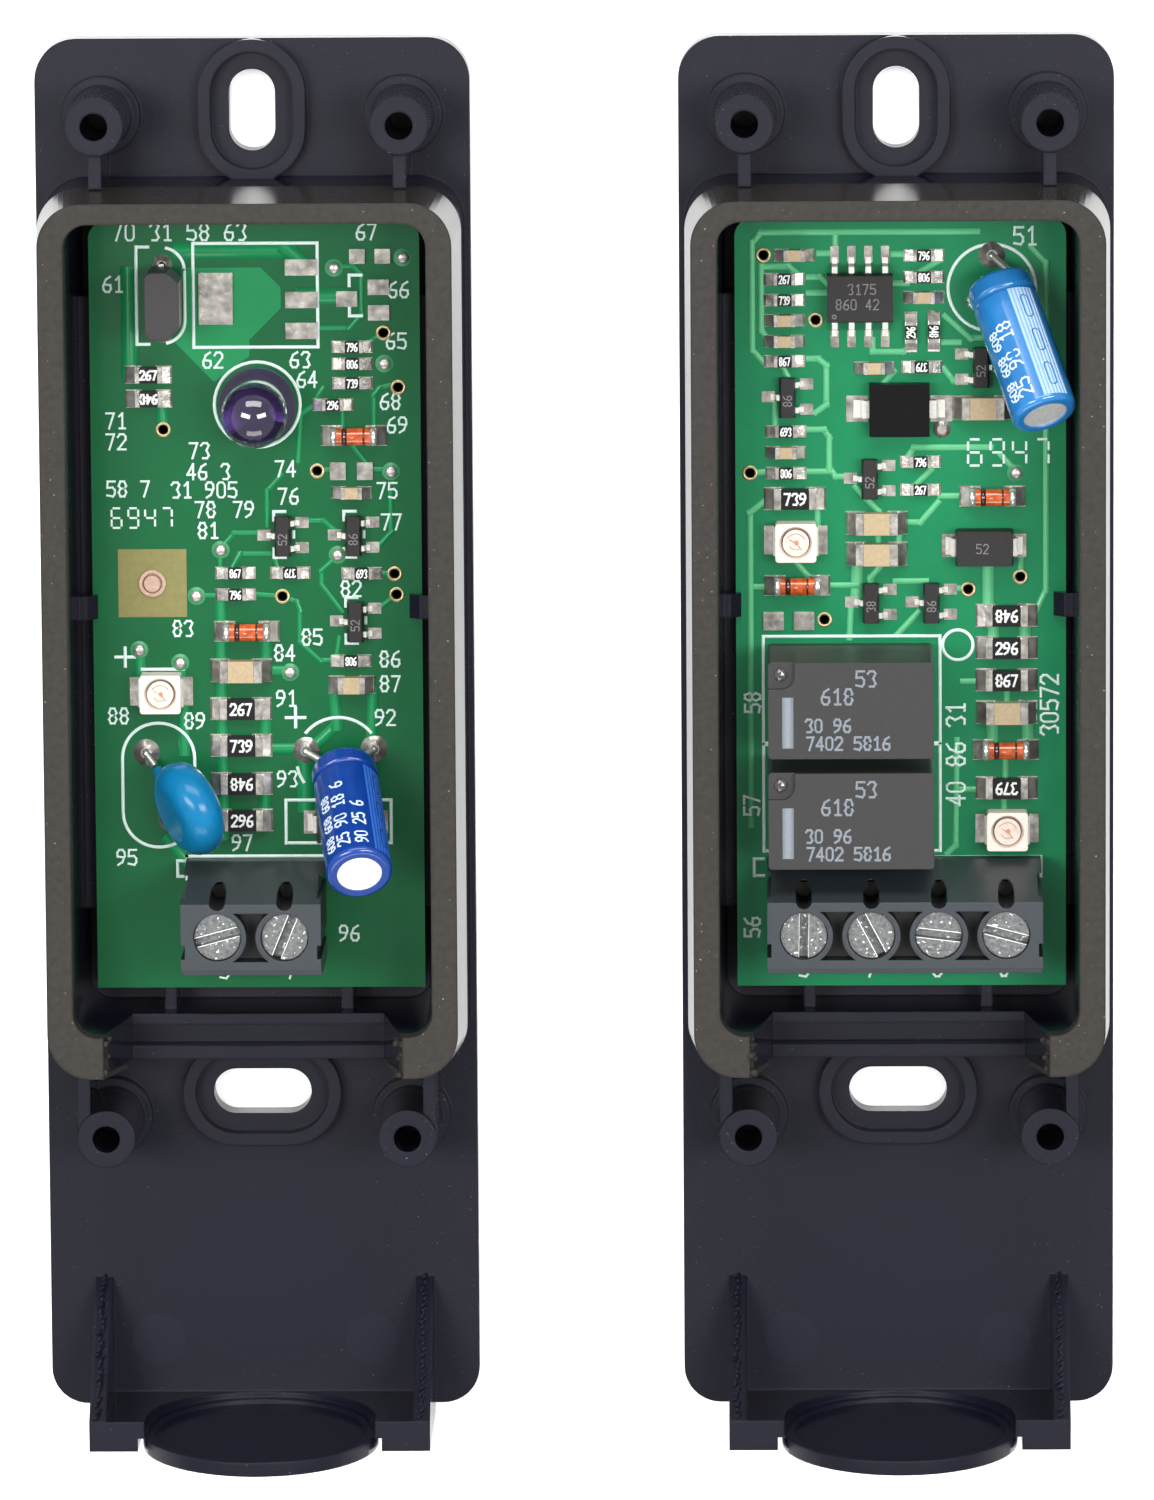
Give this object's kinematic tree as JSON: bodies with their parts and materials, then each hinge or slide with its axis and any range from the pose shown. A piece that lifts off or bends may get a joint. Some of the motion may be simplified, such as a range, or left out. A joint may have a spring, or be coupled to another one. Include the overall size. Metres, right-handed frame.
{
  "type": "gate safety photocell",
  "caption": "Opened transmitter and receiver of a gate safety beam: slim moulded back plates with sealed trays, circuit boards, rising-clamp terminals and cable ends.",
  "frame": {"origin": "centre of the pair's bounding box on the surface that the back plates lie on", "axes": "+Z out of the back plates towards the viewer, +Y towards the upper ends of the housings, +X from the transmitter to the receiver"},
  "size_m": [0.0818, 0.1074, 0.0209],
  "materials": {
    "housing_plastic": "satin moulded grain",
    "gasket_rubber": "soft matt",
    "board_laminate": "glossy solder mask",
    "solder": "bright solder",
    "terminal_plastic": "smooth moulded",
    "tinned_metal": "tinned",
    "screw_steel": "dull zinc",
    "clamp_steel": "dull nickel",
    "emitter_lens": "clear tinted",
    "varistor_coat": "glossy dipped",
    "capacitor_sleeve_dark": "shrunk sleeve",
    "capacitor_sleeve_light": "shrunk sleeve",
    "component_plastic": "moulded",
    "led_plastic": "smooth",
    "copper": "dull copper",
    "chip_black": "glazed",
    "ceramic_tan": "sintered",
    "diode_glass": "clear orange",
    "relay_case": "glossy",
    "photodiode_black": "glossy"
  },
  "bodies": {
    "base": {"tx_housing": "housing_plastic", "tx_gasket": "gasket_rubber", "tx_board": "board_laminate", "tx_solder": "solder", "tx_terminal_block": "terminal_plastic", "tx_contact_bars": "tinned_metal", "tx_emitter": "emitter_lens", "tx_emitter_leads": "tinned_metal", "tx_varistor": "varistor_coat", "tx_varistor_leads": "tinned_metal", "tx_capacitor": "capacitor_sleeve_dark", "tx_capacitor_leads": "tinned_metal", "tx_transistor": "component_plastic", "tx_transistor_leads": "tinned_metal", "tx_status_led": "led_plastic", "tx_rectifier": "component_plastic", "tx_earth_post": "copper", "tx_chip_resistors": "chip_black", "tx_chip_capacitors": "ceramic_tan", "tx_glass_diodes": "diode_glass", "tx_small_transistors": "component_plastic", "rx_housing": "housing_plastic", "rx_gasket": "gasket_rubber", "rx_board": "board_laminate", "rx_solder": "solder", "rx_terminal_block": "terminal_plastic", "rx_contact_bars": "tinned_metal", "rx_relay_1": "relay_case", "rx_relay_2": "relay_case", "rx_relay_pins": "tinned_metal", "rx_amplifier": "component_plastic", "rx_amplifier_leads": "tinned_metal", "rx_photodiode": "photodiode_black", "rx_photodiode_leads": "tinned_metal", "rx_capacitor": "capacitor_sleeve_light", "rx_capacitor_leads": "tinned_metal", "rx_status_leds": "led_plastic", "rx_rectifier": "component_plastic", "rx_chip_resistors": "chip_black", "rx_chip_capacitors": "ceramic_tan", "rx_glass_diodes": "diode_glass", "rx_small_transistors": "component_plastic"},
    "tx_screw_1": {"tx_screw_1": "screw_steel"},
    "tx_clamp_1": {"tx_clamp_1": "clamp_steel"},
    "tx_screw_2": {"tx_screw_2": "screw_steel"},
    "tx_clamp_2": {"tx_clamp_2": "clamp_steel"},
    "rx_screw_1": {"rx_screw_1": "screw_steel"},
    "rx_clamp_1": {"rx_clamp_1": "clamp_steel"},
    "rx_screw_2": {"rx_screw_2": "screw_steel"},
    "rx_clamp_2": {"rx_clamp_2": "clamp_steel"},
    "rx_screw_3": {"rx_screw_3": "screw_steel"},
    "rx_clamp_3": {"rx_clamp_3": "clamp_steel"},
    "rx_screw_4": {"rx_screw_4": "screw_steel"},
    "rx_clamp_4": {"rx_clamp_4": "clamp_steel"}
  },
  "joints": [
    {"name": "tx_screw_1_turn", "type": "hinge", "parent": "base", "child": "tx_screw_1", "pos_m": [-0.02699, -0.01282, 0.0163], "axis": [0, 0, -1], "range_deg": [0, 1260]},
    {"name": "tx_clamp_1_rise", "type": "slide", "parent": "base", "child": "tx_clamp_1", "axis": [0, 0, 1], "range_m": [0, 0.00175]},
    {"name": "tx_screw_2_turn", "type": "hinge", "parent": "base", "child": "tx_screw_2", "pos_m": [-0.02191, -0.01282, 0.0163], "axis": [0, 0, -1], "range_deg": [0, 1260]},
    {"name": "tx_clamp_2_rise", "type": "slide", "parent": "base", "child": "tx_clamp_2", "axis": [0, 0, 1], "range_m": [0, 0.00175]},
    {"name": "rx_screw_1_turn", "type": "hinge", "parent": "base", "child": "rx_screw_1", "pos_m": [0.01721, -0.01282, 0.0163], "axis": [0, 0, -1], "range_deg": [0, 1260]},
    {"name": "rx_clamp_1_rise", "type": "slide", "parent": "base", "child": "rx_clamp_1", "axis": [0, 0, 1], "range_m": [0, 0.00175]},
    {"name": "rx_screw_2_turn", "type": "hinge", "parent": "base", "child": "rx_screw_2", "pos_m": [0.02228, -0.01282, 0.0163], "axis": [0, 0, -1], "range_deg": [0, 1260]},
    {"name": "rx_clamp_2_rise", "type": "slide", "parent": "base", "child": "rx_clamp_2", "axis": [0, 0, 1], "range_m": [0, 0.00175]},
    {"name": "rx_screw_3_turn", "type": "hinge", "parent": "base", "child": "rx_screw_3", "pos_m": [0.02737, -0.01282, 0.0163], "axis": [0, 0, -1], "range_deg": [0, 1260]},
    {"name": "rx_clamp_3_rise", "type": "slide", "parent": "base", "child": "rx_clamp_3", "axis": [0, 0, 1], "range_m": [0, 0.00175]},
    {"name": "rx_screw_4_turn", "type": "hinge", "parent": "base", "child": "rx_screw_4", "pos_m": [0.03245, -0.01282, 0.0163], "axis": [0, 0, -1], "range_deg": [0, 1260]},
    {"name": "rx_clamp_4_rise", "type": "slide", "parent": "base", "child": "rx_clamp_4", "axis": [0, 0, 1], "range_m": [0, 0.00175]}
  ],
  "couplings": [
    {"joint": "tx_screw_1_turn", "follows": "tx_clamp_1_rise", "rad_per_m": 12566},
    {"joint": "tx_screw_2_turn", "follows": "tx_clamp_2_rise", "rad_per_m": 12566},
    {"joint": "rx_screw_1_turn", "follows": "rx_clamp_1_rise", "rad_per_m": 12566},
    {"joint": "rx_screw_2_turn", "follows": "rx_clamp_2_rise", "rad_per_m": 12566},
    {"joint": "rx_screw_3_turn", "follows": "rx_clamp_3_rise", "rad_per_m": 12566},
    {"joint": "rx_screw_4_turn", "follows": "rx_clamp_4_rise", "rad_per_m": 12566}
  ]
}
